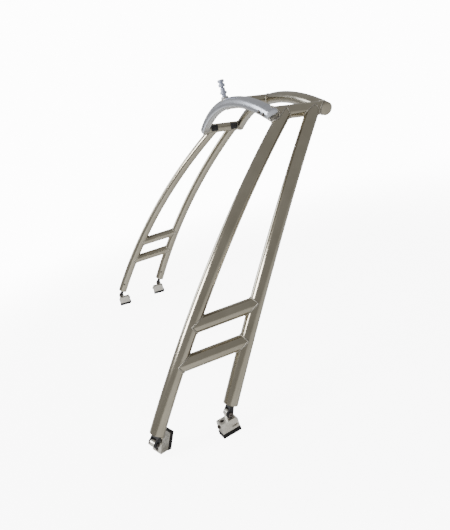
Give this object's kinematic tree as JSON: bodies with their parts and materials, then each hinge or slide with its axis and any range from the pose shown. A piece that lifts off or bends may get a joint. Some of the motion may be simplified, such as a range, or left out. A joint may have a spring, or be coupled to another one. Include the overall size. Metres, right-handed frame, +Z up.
{
  "type": "boat tow tower",
  "caption": "Forward-raked tubular tow tower for an open boat: two laddered side frames, two arched hoops, a tow post and swivelling, pitching feet.",
  "frame": {"origin": "bottom centre of the bounding box: X on the boat mid-plane, Y at the middle of the length, Z on the plane of the level pads", "axes": "+X to starboard, +Y forward (towards the bow, the way the tower rakes), +Z up"},
  "size_m": [2.2552, 1.3048, 1.4547],
  "materials": {
    "tube_alloy": "bright-dipped and polished, with warm dark reflections",
    "hoop_alloy": "bright polished, cooler and paler than the legs",
    "tow_alloy": "satin machined, blue grey",
    "foot_alloy": "machined and polished casting",
    "black_moulding": "black moulded nylon, fine grain",
    "rubber": "black ribbed rubber",
    "dark_steel": "dark stainless fasteners"
  },
  "bodies": {
    "tower": {"aft_hoop": "hoop_alloy", "fwd_hoop": "tube_alloy", "splice_bolt_1": "dark_steel", "splice_bolt_2": "dark_steel", "splice_bolt_3": "dark_steel", "splice_bolt_4": "dark_steel", "spine": "tube_alloy", "aft_cap_stbd": "hoop_alloy", "aft_cap_port": "hoop_alloy", "fwd_cap_stbd": "tube_alloy", "fwd_cap_port": "tube_alloy", "stbd_aft_leg": "tube_alloy", "stbd_fwd_leg": "tube_alloy", "stbd_rail": "tube_alloy", "stbd_lower_rung": "tube_alloy", "stbd_upper_rung": "tube_alloy", "stbd_aft_cover": "black_moulding", "stbd_fwd_cover": "black_moulding", "stbd_aft_insert": "foot_alloy", "stbd_aft_set_screw": "dark_steel", "stbd_fwd_insert": "foot_alloy", "stbd_fwd_set_screw": "dark_steel", "port_aft_leg": "tube_alloy", "port_fwd_leg": "tube_alloy", "port_rail": "tube_alloy", "port_lower_rung": "tube_alloy", "port_upper_rung": "tube_alloy", "port_aft_cover": "black_moulding", "port_fwd_cover": "black_moulding", "port_aft_insert": "foot_alloy", "port_aft_set_screw": "dark_steel", "port_fwd_insert": "foot_alloy", "port_fwd_set_screw": "dark_steel", "tow_saddle": "hoop_alloy", "tow_post": "tow_alloy", "tow_head": "tow_alloy"},
    "stbd_aft_knuckle": {"stbd_aft_fork": "black_moulding", "stbd_aft_pivot_bolt": "dark_steel"},
    "stbd_aft_foot": {"stbd_aft_base": "foot_alloy", "stbd_aft_pad": "rubber", "stbd_aft_mount_bolt": "dark_steel", "stbd_aft_end_screw": "dark_steel"},
    "stbd_fwd_knuckle": {"stbd_fwd_fork": "black_moulding", "stbd_fwd_pivot_bolt": "dark_steel"},
    "stbd_fwd_foot": {"stbd_fwd_base": "foot_alloy", "stbd_fwd_pad": "rubber", "stbd_fwd_mount_bolt": "dark_steel", "stbd_fwd_end_screw": "dark_steel"},
    "port_aft_knuckle": {"port_aft_fork": "black_moulding", "port_aft_pivot_bolt": "dark_steel"},
    "port_aft_foot": {"port_aft_base": "foot_alloy", "port_aft_pad": "rubber", "port_aft_mount_bolt": "dark_steel", "port_aft_end_screw": "dark_steel"},
    "port_fwd_knuckle": {"port_fwd_fork": "black_moulding", "port_fwd_pivot_bolt": "dark_steel"},
    "port_fwd_foot": {"port_fwd_base": "foot_alloy", "port_fwd_pad": "rubber", "port_fwd_mount_bolt": "dark_steel", "port_fwd_end_screw": "dark_steel"}
  },
  "joints": [
    {"name": "stbd_aft_swivel", "type": "hinge", "parent": "tower", "child": "stbd_aft_knuckle", "pos_m": [1.08686, -0.59806, 0.12027], "axis": [-0.1034, 0.5566, 0.8243], "range_deg": [-30, 330]},
    {"name": "stbd_aft_pitch", "type": "hinge", "parent": "stbd_aft_knuckle", "child": "stbd_aft_foot", "pos_m": [1.091, -0.62033, 0.0873], "axis": [-0.7762, -0.5634, 0.2831], "range_deg": [-2, 166]},
    {"name": "stbd_fwd_swivel", "type": "hinge", "parent": "tower", "child": "stbd_fwd_knuckle", "pos_m": [1.08658, -0.2736, 0.12122], "axis": [-0.1106, 0.5181, 0.8481], "range_deg": [-180, 180]},
    {"name": "stbd_fwd_pitch", "type": "hinge", "parent": "stbd_fwd_knuckle", "child": "stbd_fwd_foot", "pos_m": [1.091, -0.29433, 0.0873], "axis": [0.978, 0.2087, 0], "range_deg": [-93.99, 74.01]},
    {"name": "port_aft_swivel", "type": "hinge", "parent": "tower", "child": "port_aft_knuckle", "pos_m": [-1.08686, -0.59806, 0.12027], "axis": [0.1034, 0.5566, 0.8243], "range_deg": [-180, 180]},
    {"name": "port_aft_pitch", "type": "hinge", "parent": "port_aft_knuckle", "child": "port_aft_foot", "pos_m": [-1.091, -0.62033, 0.0873], "axis": [0.9832, -0.1826, 0], "range_deg": [-140.48, 27.52]},
    {"name": "port_fwd_swivel", "type": "hinge", "parent": "tower", "child": "port_fwd_knuckle", "pos_m": [-1.08658, -0.2736, 0.12122], "axis": [0.1106, 0.5181, 0.8481], "range_deg": [-180, 180]},
    {"name": "port_fwd_pitch", "type": "hinge", "parent": "port_fwd_knuckle", "child": "port_fwd_foot", "pos_m": [-1.091, -0.29433, 0.0873], "axis": [0.978, -0.2087, 0], "range_deg": [-93.99, 74.01]}
  ]
}
